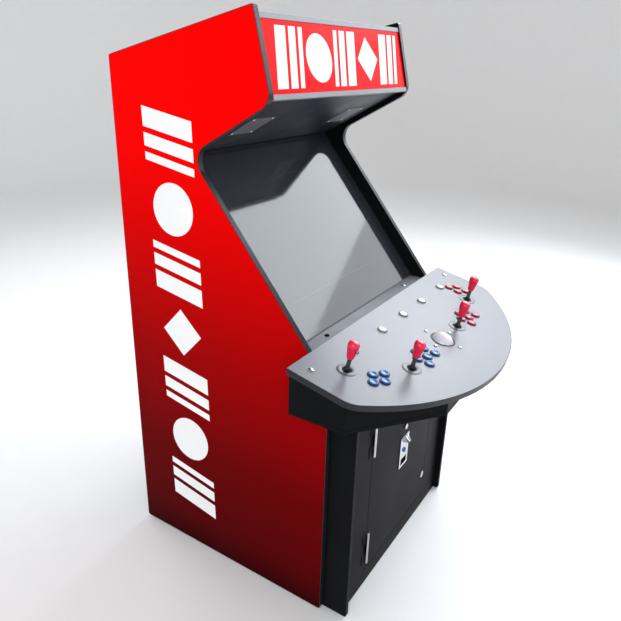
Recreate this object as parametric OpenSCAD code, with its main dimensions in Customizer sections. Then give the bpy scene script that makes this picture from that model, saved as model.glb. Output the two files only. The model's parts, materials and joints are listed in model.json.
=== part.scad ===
// Upright arcade cabinet for four players: two shaped side panels, a lit marquee, a speaker
// soffit, a screen that leans back behind smoked glass, and a sloping D-shaped control deck.
// The frame: +X is the player's right, -Y is the front, +Z is up, the floor is z = 0, and the
// origin is the middle of the footprint. Inside the modules y = 0 is the cabinet's rear edge.

/* [Cabinet] */
// Height of the cabinet at the marquee's top edge
cab_h = 1780; // [1700:1:2200]
// How much lower the top is at the rear
rear_drop = 120; // [60:1:180]
// Width over the two side panels
cab_w = 828; // [800:1:1000]
// Thickness of a side panel
panel_t = 19; // [15:0.5:23]
// Thickness of the inner boards
board_t = 16; // [12:0.5:19]
// Depth of the top, from the rear to the marquee's top edge
top_depth = 526; // [480:1:640]
// Distance from the rear to the side panels' lower front edge
side_front = 780; // [740:1:800]
// Distance from the rear to the front of the inner base plates
base_front = 866; // [850:1:960]
// How far the front face lies behind the base plates' front edge
face_recess = 20; // [12:1:30]
// How far the rear panel lies inside the rear edge
rear_recess = 10; // [6:1:20]
// Height of a foot
foot_h = 6; // [4:1:12]
// Radius of a foot
foot_r = 18; // [14:1:24]
// Thickness of the edge moulding
trim_t = 2; // [1.5:0.1:3]

/* [Marquee and soffit] */
// Length of the side panels' edge beside the marquee
marquee_len = 233; // [220:1:280]
// Lean of the marquee from the vertical
marquee_lean = 13.9; // [8:0.1:18]
// How far the marquee sheet lies behind the panel edge
marquee_recess = 6; // [5:0.5:12]
// Thickness of the marquee sheet
marquee_t = 3; // [2:0.5:5]
// Height of a retainer's lip
retainer_h = 13.5; // [10:0.5:18]
// Fall of the soffit towards the screen, from the horizontal
soffit_slope = 28.7; // [24:0.1:32]
// How far the soffit board lies inside the panel edge
soffit_recess = 18; // [16:1:24]
// Thickness of the soffit board
soffit_t = 12; // [9:0.5:16]
// Side of a square speaker grille
grille_w = 106; // [90:1:120]
// Distance of a speaker from the middle of the soffit
speaker_x = 265; // [200:1:280]
// Distance of a speaker's centre from the soffit's front corner
speaker_y = 190; // [170:1:210]
// Radius of a speaker's frame
speaker_r = 50; // [40:1:54]

/* [Screen] */
// Lean of the screen from the vertical
screen_lean = 39.4; // [34:0.1:42]
// How far the glass lies behind the panel edge
glass_recess = 46; // [40:1:52]
// Thickness of the glass
glass_t = 4; // [3:0.5:6]
// Width of the picture
picture_w = 708; // [600:1:720]
// Height of the picture
picture_h = 398; // [340:1:440]
// Distance from the deck up the slope to the picture
picture_from_deck = 147; // [130:1:170]
// Width of the metal trim around the picture
picture_trim = 4; // [3:0.5:8]
// Depth of the monitor's case
monitor_d = 48; // [40:1:80]

/* [Control deck] */
// Height of the deck's rear edge above the floor
deck_z = 906; // [860:1:980]
// Distance from the rear of the cabinet to the deck's rear edge
deck_back = 711; // [700:1:730]
// Width of the deck
deck_w = 1042; // [1030:1:1150]
// Length of the deck down its slope
deck_len = 432; // [420:1:500]
// Fall of the deck towards the player
deck_slope = 12.3; // [8:0.1:14]
// Radius of the deck's curved front
deck_front_r = 700; // [660:1:860]
// Radius of the deck's corners
deck_corner_r = 70; // [40:1:90]
// Thickness of the deck
deck_t = 19; // [16:0.5:22]
// Height of the control box's underside
box_z = 762; // [700:1:770]
// How far the deck overhangs the box at each side
box_overhang = 10; // [6:1:16]
// Length of the box's straight side
box_side = 174; // [150:1:190]
// Width of the box's front board
box_front_w = 530; // [480:1:640]
// Distance from the deck's rear edge to the box's front
box_depth = 357; // [330:1:365]

/* [Controls] */
// Radius of a button's bezel
bezel_r = 16.5; // [15:0.25:17.5]
// Radius of a plunger's cap
plunger_r = 12.2; // [11:0.1:13]
// Gap around a plunger
plunger_gap = 0.35; // [0.3:0.05:0.5]
// How far a plunger travels
plunger_travel = 3.5; // [2:0.1:4]
// Spacing of the action buttons
button_pitch = 36; // [35.5:0.1:42]
// Radius of a stick's shaft
shaft_r = 6; // [5:0.25:7]
// Radius of a stick's bat top
bat_r = 16.5; // [14:0.5:19]
// Height of a bat top's crown above the deck
bat_top = 92; // [84:1:110]
// Depth of a stick's pivot below the deck's surface
pivot_z = 30; // [28:1:32]
// Lean of a stick at its limit
stick_lean = 9; // [6:0.5:10]
// Radius of a dust washer
washer_r = 29; // [25:0.5:32]
// Radius of the trackball
ball_r = 38.1; // [34:0.1:40]
// How far the trackball stands above the deck
ball_proud = 21; // [16:0.5:23]
// Distance of a trackball bolt from the ball's middle
ball_bolt_r = 58; // [56:1:66]

/* [Coin door] */
// Width of the coin door
door_w = 480; // [400:1:560]
// Height of the coin door
door_h = 620; // [520:1:640]
// Height of the door's lower edge
door_z = 65; // [50:1:80]
// Gap around the door
door_gap = 2; // [1.5:0.1:4]
// Length of a door hinge
hinge_len = 126; // [100:1:140]
// Radius of a hinge knuckle
knuckle_r = 5; // [4:0.25:6]
// Radius of a hinge pin
hinge_pin_r = 2; // [1.5:0.1:2.5]
// Distance from a door's end to the middle of a hinge
hinge_inset = 99; // [80:1:120]
// Width of the coin plate
coin_w = 66; // [60:1:80]
// Height of the coin plate
coin_h = 124; // [110:1:140]
// Place of the coin plate across the door
coin_x = 8; // [-40:1:40]
// Height of the coin plate's middle above the floor
coin_z = 401; // [340:1:460]
// Distance of the lock from the door's middle
lock_x = 217; // [190:1:220]
// Height of the lock above the floor
lock_z = 170; // [130:1:400]
// Radius of the lock's barrel
lock_r = 9; // [7:0.5:11]

/* [Hidden] */
PLAYERS = ["p1", "p2", "p3", "p4"];

$fn = 48;
overlap = 1;          // how far a cutter runs past the face that it cuts
gap = 0.3;            // gap between boards that are separate pieces
running = 0.05;       // radial clearance of a pin in its bore

rear_y = (deck_back + deck_len * cos(deck_slope)) / 2;
inner_x = cab_w / 2 - panel_t;
rear_h = cab_h - rear_drop;
top_angle = atan(rear_drop / top_depth);
low_y = -top_depth - marquee_len * sin(marquee_lean);
low_z = cab_h - marquee_len * cos(marquee_lean);
face_y = -(base_front - face_recess);
plinth_x = inner_x - board_t;
box_floor_t = 12;
box_wall_t = 15;
ledge_z = deck_z - 9;
ledge_t = 19;

// Where the soffit's line meets the screen's line, as distances along each from its own start
meet_det = cos(soffit_slope - screen_lean);
meet_y = -deck_back - low_y;
meet_z = deck_z - low_z;
soffit_len = (meet_y * cos(screen_lean) - meet_z * sin(screen_lean)) / meet_det;
screen_len = -(meet_z * cos(soffit_slope) + meet_y * sin(soffit_slope)) / meet_det;
soffit_end = soffit_len + soffit_recess * tan(screen_lean - soffit_slope) + glass_recess - 20;

// Side outline in (y, z), from the lower rear corner up and round, with each corner's radius
SIDE = [
  [0, foot_h], [0, rear_h], [-top_depth, cab_h], [low_y, low_z],
  [low_y + soffit_len * cos(soffit_slope), low_z - soffit_len * sin(soffit_slope)],
  [-deck_back, deck_z], [-deck_back, box_z], [-side_front, box_z], [-side_front, foot_h]];
SIDE_R = [8, 8, 8, 46, 50, 0, 0, 0, 8];
CONCAVE = [4, 6];

// Start buttons across the deck, and how far down its slope they lie
START_X = [-300, -118, 34, 182, 352];
start_y = -81;
// Each player's stick: x, distance down the slope, facing angle, and reach to the first column
STICKS = [[-236, -238, 98, 60], [125, -238, 98, 60], [-396, -114, 31, 72], [353, -188, 149, 55]];
STICK_COLUMNS = [3, 3, 2, 2];
// Columns of action buttons beyond the first: step to the right, and height of the lower button
COLUMNS = [[0, -36], [33, -20], [70, -34]];
DECK_BOLTS = [[-476, -49], [476, -49]];
ball_at = [0, -237];
LEDGE_BOLT_X = [-268, 268];
column_counts = [for (c = STICK_COLUMNS) 2 * c];

// ---- outlines ----
function unit(v) = v / norm(v);
function left_of(v) = [-v.y, v.x];
function turn(a) = a > 180 ? a - 360 : a < -180 ? a + 360 : a;
function at(p, i) = p[(i + len(p)) % len(p)];
function corner(a, b, c, r, steps = 12) =
  let (u = unit(a - b), w = unit(c - b), half = acos(u * w) / 2,
       centre = b + unit(u + w) * r / sin(half), first = b + u * r / tan(half),
       last = b + w * r / tan(half), a0 = atan2(first.y - centre.y, first.x - centre.x),
       sweep = turn(atan2(last.y - centre.y, last.x - centre.x) - a0))
  [for (i = [0 : steps]) centre + r * [cos(a0 + sweep * i / steps), sin(a0 + sweep * i / steps)]];
function rounded(p, r) =
  [for (i = [0 : len(p) - 1]) each (r[i] > 0 ? corner(at(p, i - 1), p[i], at(p, i + 1), r[i]) : [p[i]])];
function inset(p, t) =
  [for (i = [0 : len(p) - 1])
    let (n1 = left_of(unit(p[i] - at(p, i - 1))), n2 = left_of(unit(at(p, i + 1) - p[i])))
    p[i] + t * (n1 + n2) / (1 + n1 * n2)];
function side_radii(t) =
  [for (i = [0 : len(SIDE_R) - 1]) SIDE_R[i] == 0 ? 0 : SIDE_R[i] + (i == CONCAVE[0] ? t : -t)];

// ---- frames ----
module placed() { translate([0, rear_y, 0]) children(); }
module along_x(x0, w) { translate([x0, 0, 0]) rotate([90, 0, 90]) linear_extrude(w) children(); }
module at_marquee() { translate([0, low_y, low_z]) rotate([-marquee_lean, 0, 0]) children(); }
module at_soffit() { translate([0, low_y, low_z]) rotate([-soffit_slope, 0, 0]) children(); }
module at_screen() { translate([0, -deck_back, deck_z]) rotate([-screen_lean, 0, 0]) children(); }
module at_top() { translate([0, 0, rear_h]) rotate([-top_angle, 0, 0]) children(); }
module at_deck() { translate([0, -deck_back, deck_z]) rotate([deck_slope, 0, 0]) children(); }
module both_sides() { children(); mirror([1, 0, 0]) children(); }
module block(low, high) { translate(low) cube(high - low); }

// ---- sides and boards ----
module side_outline(t) { polygon(rounded(inset(SIDE, t), side_radii(t))); }

module side_panel_left() {
  color("red") placed() along_x(-cab_w / 2, panel_t) side_outline(trim_t);
}

module side_panel_right() {
  color("red") placed() along_x(inner_x, panel_t) side_outline(trim_t);
}

module edge_moulding() {
  color("#20242c") placed() {
    both_sides() along_x(inner_x, panel_t) difference() { side_outline(0); side_outline(trim_t); }
    difference() {
      at_deck() translate([0, 0, -deck_t]) linear_extrude(deck_t)
        difference() { deck_outline(0); deck_outline(trim_t); }
      behind_deck();
    }
  }
}

module base_plates() {
  corners = [[-rear_recess - board_t - gap, foot_h], [-rear_recess - board_t - gap, box_z - gap],
             [-base_front, box_z - gap], [-base_front, foot_h]];
  color("#141417") placed() both_sides()
    along_x(plinth_x, board_t - gap) polygon(rounded(corners, [0, 0, 0, 6]));
}

module front_frame() {
  half_door = door_w / 2 + door_gap;
  low = door_z - door_gap;
  high = door_z + door_h + door_gap;
  color("#231f22") placed() {
    both_sides()
      block([half_door, face_y, foot_h], [plinth_x - gap, face_y + board_t, box_z - gap]);
    block([-half_door + gap, face_y, foot_h], [half_door - gap, face_y + board_t, low]);
    block([-half_door + gap, face_y, high], [half_door - gap, face_y + board_t, box_z - gap]);
  }
}

vent_w = 150;
vent_h = 8;
vent_pitch = 22;
vent_rows = 6;
inlet_w = 48;
inlet_h = 28;
inlet_x = 250;
inlet_z = 90;

module rear_panel() {
  color("#17171a") placed() difference() {
    block([-inner_x + gap, -rear_recess - board_t, foot_h],
          [inner_x - gap, -rear_recess, rear_h - 32]);
    for (z = [200, 1300], row = [0 : vent_rows - 1], side = [-1, 1])
      block([side * 130 - vent_w / 2, -rear_recess - board_t - overlap, z + row * vent_pitch],
            [side * 130 + vent_w / 2, -rear_recess + overlap, z + row * vent_pitch + vent_h]);
    block([inlet_x - inlet_w / 2, -rear_recess - board_t - overlap, inlet_z - inlet_h / 2],
          [inlet_x + inlet_w / 2, -rear_recess + overlap, inlet_z + inlet_h / 2]);
  }
}

top_inset = 12;

module end_boards() {
  color("#17171a") placed() {
    block([-plinth_x + gap, face_y + board_t + gap, foot_h],
          [plinth_x - gap, -rear_recess - board_t - gap, foot_h + board_t]);
    at_top() block([-inner_x + gap, -top_depth / cos(top_angle) + 24, -top_inset - board_t],
                   [inner_x - gap, -8, -top_inset]);
  }
}

module feet() {
  color("#101010") placed() both_sides()
    for (y = [-80, face_y + 70])
      translate([plinth_x - 40, y, 0]) cylinder(r1 = foot_r, r2 = foot_r - 2, h = foot_h);
}

// ---- marquee, soffit and speakers ----
module marquee_panel() {
  color("red") placed() at_marquee()
    block([-inner_x + 1, marquee_recess, 9], [inner_x - 1, marquee_recess + marquee_t, 214]);
}

module retainer() {
  lip_t = 2.5;
  leg = 20;
  along_x(-inner_x + 1, 2 * inner_x - 2) translate([marquee_recess - gap, 0]) {
    translate([-lip_t, 0]) square([lip_t, retainer_h]);
    translate([-lip_t, 0]) square([leg, 1.5]);
  }
}

module marquee_retainers() {
  color("silver") placed() at_marquee() {
    translate([0, 0, 7.3]) retainer();
    translate([0, 0, 215.7]) mirror([0, 0, 1]) retainer();
  }
}

module speaker_board() {
  cone_r = speaker_r - 7;
  color("#2b2f3a") placed() at_soffit() difference() {
    block([-inner_x + gap, 16, soffit_recess], [inner_x - gap, soffit_end, soffit_recess + soffit_t]);
    for (x = [-speaker_x, speaker_x])
      translate([x, speaker_y, soffit_recess - overlap]) cylinder(r = cone_r, h = soffit_t + 2 * overlap);
  }
}

module speaker_grilles() {
  grille_t = 1.5;
  color("silver") placed() at_soffit() both_sides()
    block([speaker_x - grille_w / 2, speaker_y - grille_w / 2, soffit_recess - grille_t],
          [speaker_x + grille_w / 2, speaker_y + grille_w / 2, soffit_recess]);
}

// ---- screen ----
glass_low = (ledge_z - deck_z + (glass_recess + glass_t) * sin(screen_lean)) / cos(screen_lean) + 1;
glass_high = screen_len + 48;
picture_mid = picture_from_deck + picture_h / 2;
surround_t = 12;
surround_y = glass_recess + glass_t + gap;
surround_low = glass_low + 10;

module screen_glass() {
  color([0.1, 0.1, 0.12, 0.4]) placed() at_screen()
    block([-inner_x + 1, glass_recess, glass_low], [inner_x - 1, glass_recess + glass_t, glass_high]);
}

module screen_surround() {
  hole_x = picture_w / 2 + picture_trim + 1;
  hole_z = picture_h / 2 + picture_trim + 1;
  batten_y = soffit_end + gap;
  color("#101114") placed() {
    at_screen() {
      both_sides() block([hole_x, surround_y, surround_low],
                         [inner_x - gap, surround_y + surround_t, glass_high]);
      block([-hole_x + gap, surround_y, surround_low],
            [hole_x - gap, surround_y + surround_t, picture_mid - hole_z]);
      block([-hole_x + gap, surround_y, picture_mid + hole_z],
            [hole_x - gap, surround_y + surround_t, glass_high]);
    }
    at_soffit() block([-inner_x + gap, batten_y, soffit_recess + 3],
                      [inner_x - gap, batten_y + 15, soffit_recess + soffit_t + 10]);
    difference() {
      block([-inner_x + gap, -deck_back, ledge_z - ledge_t], [inner_x - gap, -deck_back + 75, ledge_z]);
      for (x = LEDGE_BOLT_X) translate([x, -deck_back + 29, ledge_z - ledge_t - overlap])
        cylinder(r = 4, h = ledge_t + 2 * overlap);
    }
  }
}

module picture_ring(t, depth) {
  rotate([90, 0, 0]) translate([0, 0, -depth]) linear_extrude(depth) difference() {
    square([picture_w + 2 * t, picture_h + 2 * t], center = true);
    square([picture_w, picture_h], center = true);
  }
}

module monitor() {
  case_w = picture_w + 30;
  case_h = picture_h + 38;
  case_y = surround_y + surround_t + gap;
  color("#202024") placed() at_screen() translate([0, 0, picture_mid]) {
    translate([0, surround_y + 1, 0]) picture_ring(picture_trim, case_y - surround_y - 1);
    block([-picture_w / 2, surround_y + 5, -picture_h / 2], [picture_w / 2, case_y, picture_h / 2]);
    block([-case_w / 2, case_y, -case_h / 2], [case_w / 2, case_y + monitor_d, case_h / 2]);
  }
}

// ---- control deck and its box ----
module deck_outline(t) {
  big_r = deck_front_r - t;
  small_r = deck_corner_r - t;
  centre_y = deck_front_r - deck_len;
  cx = deck_w / 2 - deck_corner_r;
  cy = centre_y - sqrt(pow(big_r - small_r, 2) - cx * cx);
  touch = [0, centre_y] + big_r * unit([cx, cy - centre_y]);
  far = -deck_len - 10;
  translate([-deck_w / 2 + t, cy]) square([deck_w - 2 * t, -cy]);
  for (side = [-1, 1]) translate([side * cx, cy]) circle(r = small_r);
  intersection() {
    translate([0, centre_y]) circle(r = big_r, $fn = 180);
    polygon([[-cx, cy + overlap], [cx, cy + overlap], [cx, cy], touch, [touch.x, far],
             [-touch.x, far], [-touch.x, touch.y], [-cx, cy]]);
  }
}

function hand(angle, u, w) = u * [sin(angle), -cos(angle)] + w * [cos(angle), sin(angle)];
function button_at(player, i) =
  let (s = STICKS[player], col = COLUMNS[floor(i / 2)], up = (i % 2) * button_pitch)
  [s[0], s[1]] + hand(s[2], s[3] + col[0], col[1] + up);
START_AT = [for (x = START_X) [x, start_y]];
ACTION_AT = [for (p = [0 : 3], i = [0 : column_counts[p] - 1]) button_at(p, i)];

barrel_r = plunger_r + plunger_gap + 1.6;
stick_hole_r = 16;
ball_hole_r = ball_r + 1.5;
ball_z = ball_proud - ball_r;

// The space behind the deck, whose rear edge is cut upright against the side panels
module behind_deck() {
  block([-deck_w, -deck_back - gap, deck_z - 100], [deck_w, -deck_back + 100, deck_z + 100]);
}

module control_top() {
  color("#c9ccd4") placed() difference() {
    at_deck() translate([0, 0, -deck_t]) linear_extrude(deck_t) difference() {
      deck_outline(trim_t);
      for (p = concat(START_AT, ACTION_AT)) translate(p) circle(r = barrel_r + 0.3);
      for (s = STICKS) translate([s[0], s[1]]) circle(r = stick_hole_r);
      translate(ball_at) circle(r = ball_hole_r);
      for (p = DECK_BOLTS) translate(p) circle(r = 4);
      for (a = [0 : 90 : 270]) translate(ball_at + ball_bolt_r * [cos(a), sin(a)]) circle(r = 3);
    }
    behind_deck();
  }
}

box_x = deck_w / 2 - box_overhang;
box_back = -deck_back - 1;
BOX = [[box_x, box_back], [box_x, box_back - box_side], [box_front_w / 2, -deck_back - box_depth],
       [-box_front_w / 2, -deck_back - box_depth], [-box_x, box_back - box_side], [-box_x, box_back]];

// Wall board along one edge of the box, mitred to its neighbours with a small gap
module box_wall(i) {
  inner = inset([for (k = [len(BOX) - 1 : -1 : 0]) BOX[k]], box_wall_t);
  m = len(BOX) - 1;
  a = BOX[i];
  b = at(BOX, i + 1);
  along = unit(b - a) * gap / 2;
  linear_extrude(400)
    polygon([a + along, b - along, inner[(m - i - 1 + m + 1) % (m + 1)] - along, inner[m - i] + along]);
}

// The rear wall is a low strip with a post at each end, which leaves a way for the cables
module control_box() {
  wall_z = box_z + box_floor_t + gap;
  cable_w = 300;
  color("#101114") placed() {
    translate([0, 0, box_z]) linear_extrude(box_floor_t) polygon(BOX);
    difference() {
      union() {
        translate([0, 0, wall_z]) for (i = [0 : len(BOX) - 2]) box_wall(i);
        difference() {
          translate([0, 0, wall_z]) box_wall(len(BOX) - 1);
          block([-deck_w, -deck_w, wall_z + 20 - gap], [deck_w, 0, wall_z + 20]);
          block([-cable_w, -deck_w, wall_z + 20 - gap], [cable_w, 0, deck_z]);
        }
      }
      at_deck() block([-deck_w, -2 * deck_len, -deck_t - gap], [deck_w, deck_len, 600]);
    }
  }
}

// ---- buttons ----
bezel_h = 3.4;
barrel_len = 34;
plunger_top = 6.2;
stem_r = 4;

module button_body() {
  bore = plunger_r + plunger_gap;
  nut_r = barrel_r + 5;
  switch_z = barrel_len + 8;
  rotate_extrude() polygon([
    [bore, 0], [bore, bezel_h - 0.6], [bore + 0.6, bezel_h], [bezel_r - 1.6, bezel_h],
    [bezel_r - 0.4, bezel_h - 1], [bezel_r, gap], [barrel_r, gap], [barrel_r, -barrel_len],
    [stem_r + 0.4, -barrel_len], [stem_r + 0.4, -barrel_len + 2.5], [bore, -barrel_len + 2.5]]);
  translate([0, 0, -deck_t - 6]) linear_extrude(6 - gap)
    difference() { circle(r = nut_r, $fn = 6); circle(r = barrel_r + 0.2, $fn = 48); }
  translate([0, 0, -switch_z - 14]) block([-14, -5, 0], [14, 5, 14]);
}

module button_bodies() {
  color("#1f62a8") placed() at_deck()
    for (p = concat(START_AT, ACTION_AT)) translate(p) button_body();
}

module plunger(p, shade) {
  dish = 1.2;
  color(shade) placed() at_deck() translate(p) rotate_extrude() polygon([
    [0, -barrel_len - 3], [stem_r, -barrel_len - 3], [stem_r, -12], [plunger_r, -12],
    [plunger_r, plunger_top - 1], [plunger_r - 1, plunger_top], [plunger_r - 2.5, plunger_top - 0.2],
    [plunger_r / 2, plunger_top - 0.8 * dish], [0, plunger_top - dish]]);
}

module start_button(i) { plunger(START_AT[i - 1], "white"); }
module p1_button(i) { plunger(button_at(0, i - 1), "#1f62a8"); }
module p2_button(i) { plunger(button_at(1, i - 1), "#d9385e"); }
module p3_button(i) { plunger(button_at(2, i - 1), "#1f62a8"); }
module p4_button(i) { plunger(button_at(3, i - 1), "#c81e2c"); }

// ---- joysticks: the shaft rocks on a cross pin in a ring, and the ring rocks in the base ----
ring_r = 13.5;
ring_h = 9;
cross_pin_r = 1.5;
trunnion_r = 2;
housing_half = 32;
housing_bore = 16.5;
housing_z = -44;
actuator_z = -58;
collar_z = 4.8;
washer_hole_r = 14.5;

module at_stick(p) {
  placed() at_deck() translate([STICKS[p][0], STICKS[p][1], 0]) rotate([0, 0, STICKS[p][2] - 90]) children();
}
module rod_x(r, x0, x1) { translate([x0, 0, 0]) rotate([0, 90, 0]) cylinder(r = r, h = x1 - x0); }
module rod_y(r, half) { rotate([90, 0, 0]) cylinder(r = r, h = 2 * half, center = true); }

module stick(p) {
  bat_low = 39;
  len = bat_top - bat_low;
  color("#e0103f") at_stick(p) rotate_extrude() polygon([
    [shaft_r, bat_low], [0.52 * bat_r, bat_low], [0.63 * bat_r, bat_low + 0.05 * len],
    [0.86 * bat_r, bat_low + 0.4 * len], [0.975 * bat_r, bat_low + 0.6 * len],
    [bat_r, bat_low + 0.71 * len], [0.95 * bat_r, bat_low + 0.82 * len],
    [0.78 * bat_r, bat_low + 0.91 * len], [0.5 * bat_r, bat_low + 0.975 * len], [0, bat_top],
    [0, bat_top - 14], [shaft_r, bat_top - 14]]);
  color("silver") at_stick(p) {
    translate([0, 0, actuator_z]) cylinder(r = shaft_r, h = bat_top - 14 - gap - actuator_z);
    translate([0, 0, -pivot_z]) rod_y(cross_pin_r, ring_r - 0.8);
    translate([0, 0, collar_z]) cylinder(r1 = 9, r2 = shaft_r + 1, h = 5);
    translate([0, 0, actuator_z]) cylinder(r = 10, h = 6);
  }
}

module pivot(p) {
  color("#d8d8d8") at_stick(p) translate([0, 0, -pivot_z]) difference() {
    union() {
      cylinder(r = ring_r, h = ring_h, center = true);
      both_sides() rod_x(trunnion_r, ring_r - 2, housing_bore + 5);
    }
    cylinder(r = shaft_r + 2, h = ring_h + 2 * overlap, center = true);
    rod_y(cross_pin_r + running, ring_r + overlap);
  }
}

module stick_base(p) {
  plate_x = 34;
  plate_y = 46;
  difference() {
    union() {
      block([-plate_x, -plate_y, -deck_t - 2], [plate_x, plate_y, -deck_t]);
      block([-housing_half, -housing_half, housing_z], [housing_half, housing_half, -deck_t - 1]);
    }
    translate([0, 0, housing_z - overlap]) cylinder(r = housing_bore, h = -housing_z);
    translate([0, 0, -pivot_z]) both_sides() rod_x(trunnion_r + running, 0, housing_bore + 5.5);
  }
  for (a = [0 : 90 : 270]) rotate([0, 0, a])
    block([18, -10, housing_z - 12], [28, 10, housing_z - gap]);
}

module dust_washer() {
  difference() {
    cylinder(r = washer_r, h = 1.2);
    translate([0, 0, -overlap]) cylinder(r = washer_hole_r, h = 1.2 + 2 * overlap);
  }
}

module trackball_base() {
  half = 50;
  depth = 43;
  floor_z = -deck_t - depth;
  ring_low = 2;
  ring_bore = sqrt(pow(ball_r, 2) - pow(ring_low + ball_z, 2)) + 0.5;
  difference() {
    rotate([0, 0, 45]) block([-half, -half, floor_z], [half, half, -deck_t - gap]);
    translate([0, 0, floor_z + 4]) cylinder(r = ball_r + 2, h = depth);
  }
  translate([0, 0, -ring_low]) difference() {
    cylinder(r = ball_hole_r - gap, h = ring_low + 1.2);
    translate([0, 0, -overlap]) cylinder(r = ring_bore, h = ring_low + 4);
  }
}

module control_bases() {
  color("#2a2c30") {
    for (p = [0 : 3]) at_stick(p) { stick_base(p); translate([0, 0, gap]) dust_washer(); }
    placed() at_deck() translate(ball_at) trackball_base();
  }
}

module trackball() {
  color("#e8e6f0") placed() at_deck() translate([ball_at.x, ball_at.y, ball_z]) sphere(r = ball_r);
}

// ---- coin door ----
hinge_x = -door_w / 2 - door_gap / 2;
hinge_y = face_y - knuckle_r - 0.5;
hinge_z = [door_z + hinge_inset, door_z + door_h - hinge_inset];
leaf_t = 1.5;
leaf_w = 26;
door_back = face_y + board_t;
cup_w = 44;
cup_h = 26;
cup_d = 22;
reject_w = 15;
reject_z = coin_z + 4;
plate_y = face_y - 3;

module coin_door() {
  color("#231f22") placed() difference() {
    block([-door_w / 2, face_y, door_z], [door_w / 2, door_back, door_z + door_h]);
    block([coin_x - coin_w / 2 + 6, face_y - overlap, coin_z - coin_h / 2 + 6],
          [coin_x + coin_w / 2 - 6, door_back + overlap, coin_z + coin_h / 2 - 6]);
    translate([lock_x, door_back + overlap, lock_z]) rotate([90, 0, 0])
      cylinder(r = lock_r + 1.2, h = board_t + 2 * overlap);
  }
}

// Knuckles of a hinge: the middle third turns with the door, the outer two stay
module knuckle(z, h, bore) {
  translate([hinge_x, hinge_y, z]) difference() {
    cylinder(r = knuckle_r, h = h);
    translate([0, 0, -overlap]) cylinder(r = bore, h = h + 2 * overlap);
  }
}

module door_metalwork() {
  third = hinge_len / 3;
  cup_low = coin_z - coin_h / 2 + 9;
  color("silver") placed() {
    difference() {
      union() {
        block([coin_x - coin_w / 2, plate_y, coin_z - coin_h / 2],
              [coin_x + coin_w / 2, face_y - gap, coin_z + coin_h / 2]);
        block([coin_x - 24, face_y - gap - 1, coin_z - coin_h / 2 + 7],
              [coin_x + 24, door_back + 60, coin_z + coin_h / 2 - 7]);
        translate([coin_x - 5, 0, 0]) rotate([90, 0, 90]) linear_extrude(18)
          polygon([[plate_y + 1, coin_z + 34], [plate_y + 1, coin_z + 61], [plate_y - 4, coin_z + 61],
                   [plate_y - 18, coin_z + 42]]);
      }
      block([coin_x + 3, plate_y - 20, coin_z + 46], [coin_x + 5.5, plate_y + 10, coin_z + 70]);
      block([coin_x - cup_w / 2, plate_y - overlap, cup_low],
            [coin_x + cup_w / 2, plate_y + cup_d, cup_low + cup_h]);
      block([coin_x - reject_w / 2, plate_y - overlap, reject_z - reject_w / 2],
            [coin_x + reject_w / 2, plate_y + 16, reject_z + reject_w / 2]);
    }
    translate([coin_x - 2, face_y - gap, coin_z + coin_h / 2 + 37]) rotate([90, 0, 0]) cylinder(r = 10, h = 5);
    for (z = hinge_z) {
      knuckle(z - third / 2 + gap, third - 2 * gap, hinge_pin_r + running);
      block([hinge_x + 1.5, face_y - leaf_t - gap, z - third / 2 + gap],
            [hinge_x + leaf_w, face_y - gap, z + third / 2 - gap]);
    }
    translate([lock_x, face_y - gap, lock_z]) rotate([90, 0, 0]) difference() {
      cylinder(r = lock_r + 4, h = 2.5);
      translate([0, 0, -overlap]) cylinder(r = lock_r + running, h = 5);
    }
  }
}

module reject_button() {
  play = 0.5;
  half = reject_w / 2 - play;
  color("#2f7fd0") placed()
    block([coin_x - half, plate_y - 5, reject_z - half], [coin_x + half, plate_y + 10, reject_z + half]);
}

module door_lock() {
  cam_len = 36;
  cam_w = 14;
  color("silver") placed() translate([lock_x, face_y - 4, lock_z]) {
    rotate([-90, 0, 0]) difference() {
      cylinder(r = lock_r, h = board_t + 12);
      translate([-1.2, -5, -overlap]) cube([2.4, 10, 4]);
    }
    translate([0, board_t + 8, 0]) block([-cam_w / 2, 0, -cam_len], [cam_w / 2, 2.5, cam_w / 2]);
  }
}

// ---- inside the base ----
cash_w = 240;
cash_d = 180;
cash_h = 150;
cash_t = 1.5;

module cash_box() {
  low = [coin_x - cash_w / 2, door_back + 30, foot_h + board_t + gap];
  color("silver") placed() difference() {
    block(low, low + [cash_w, cash_d, cash_h]);
    block(low + [cash_t, cash_t, cash_t], low + [cash_w - cash_t, cash_d - cash_t, cash_h + overlap]);
  }
}

module speaker_driver(x) {
  base = soffit_recess + soffit_t + gap;
  translate([x, speaker_y, base]) {
    cylinder(r = speaker_r, h = 4);
    cylinder(r1 = speaker_r - 6, r2 = 28, h = 32);
    cylinder(r = 30, h = 48);
  }
}

module inlet() {
  wall = 3;
  y = -rear_recess - board_t;
  low = [inlet_x - inlet_w / 2 + gap, y - 14, inlet_z - inlet_h / 2 + gap];
  high = [inlet_x + inlet_w / 2 - gap, -rear_recess + 1.5, inlet_z + inlet_h / 2 - gap];
  difference() {
    block(low, high);
    block(low + [10, 8, wall + 1], high + [-10, overlap, -wall - 1]);
  }
}

module electrical_units() {
  shelf = foot_h + board_t + gap;
  lamp_z = 112;
  color("#b8bcc4") placed() {
    block([-300, -480, shelf], [-200, -120, shelf + 300]);
    block([120, -330, shelf], [280, -120, shelf + 90]);
    at_marquee() {
      block([-360, 70, lamp_z - 15], [360, 92, lamp_z + 15]);
      translate([0, 54, lamp_z]) rod_x(13, -340, 340);
    }
    at_soffit() for (x = [-speaker_x, speaker_x]) speaker_driver(x);
    inlet();
  }
}

// ---- bolts, and the hinge leaves and pins that stay on the frame ----
module domed_bolt(r, h, shank_r, len) {
  rotate_extrude() polygon([[0, -len], [shank_r, -len], [shank_r, gap], [r, gap], [r, h / 3],
                            [0.7 * r, 0.85 * h], [0, h]]);
}

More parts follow.
